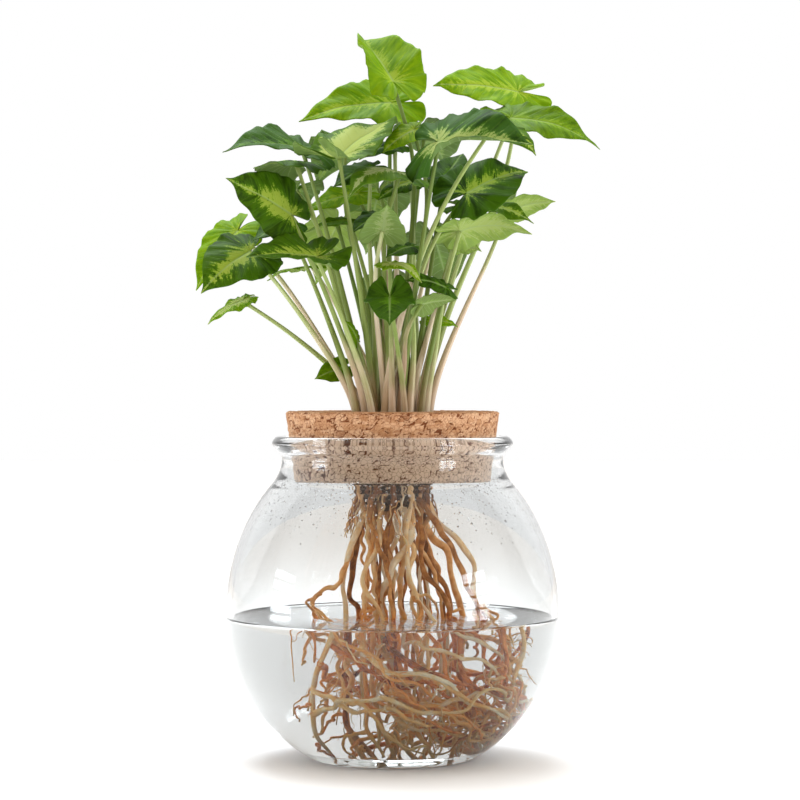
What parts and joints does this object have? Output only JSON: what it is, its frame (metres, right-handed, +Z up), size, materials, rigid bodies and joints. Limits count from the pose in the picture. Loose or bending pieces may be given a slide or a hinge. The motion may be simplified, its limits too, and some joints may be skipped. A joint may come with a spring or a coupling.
{
  "type": "potted syngonium in water",
  "caption": "Arrowhead plant grown in water: a round clear bulb vase, a cork ring in its neck, bare roots in water, and a mound of arrow-shaped variegated leaves on long petioles.",
  "frame": {"origin": "middle of the vase's flat base, on the surface it stands on", "axes": "+Z up along the vase's axis, -Y towards the viewer of the picture, +X to the viewer's right"},
  "size_m": [0.1714, 0.1403, 0.3074],
  "materials": {
    "glass": "clear and smooth",
    "water": "clear and wet",
    "cork": "pressed cork granules, matt",
    "root": "wet brown root",
    "leaf": "waxy leaf, satin, variegated"
  },
  "bodies": {
    "root": {"vase": "glass", "water": "water", "cork": "cork", "roots": "root", "leaf_01": "leaf", "leaf_02": "leaf", "leaf_03": "leaf", "leaf_04": "leaf", "leaf_05": "leaf", "leaf_06": "leaf", "leaf_07": "leaf", "leaf_08": "leaf", "leaf_09": "leaf", "leaf_10": "leaf", "leaf_11": "leaf", "leaf_12": "leaf", "leaf_13": "leaf", "leaf_14": "leaf", "leaf_15": "leaf", "leaf_16": "leaf", "leaf_17": "leaf", "leaf_18": "leaf", "leaf_19": "leaf", "leaf_20": "leaf", "leaf_21": "leaf", "leaf_22": "leaf", "leaf_23": "leaf", "leaf_24": "leaf", "leaf_25": "leaf", "leaf_26": "leaf", "leaf_27": "leaf", "leaf_28": "leaf", "leaf_29": "leaf", "leaf_30": "leaf", "leaf_31": "leaf", "leaf_32": "leaf", "leaf_33": "leaf", "leaf_34": "leaf", "leaf_35": "leaf", "leaf_36": "leaf", "leaf_37": "leaf", "leaf_38": "leaf", "leaf_39": "leaf", "leaf_40": "leaf", "leaf_41": "leaf", "leaf_42": "leaf", "leaf_43": "leaf", "leaf_44": "leaf", "leaf_45": "leaf", "leaf_46": "leaf", "leaf_47": "leaf"}
  },
  "joints": []
}
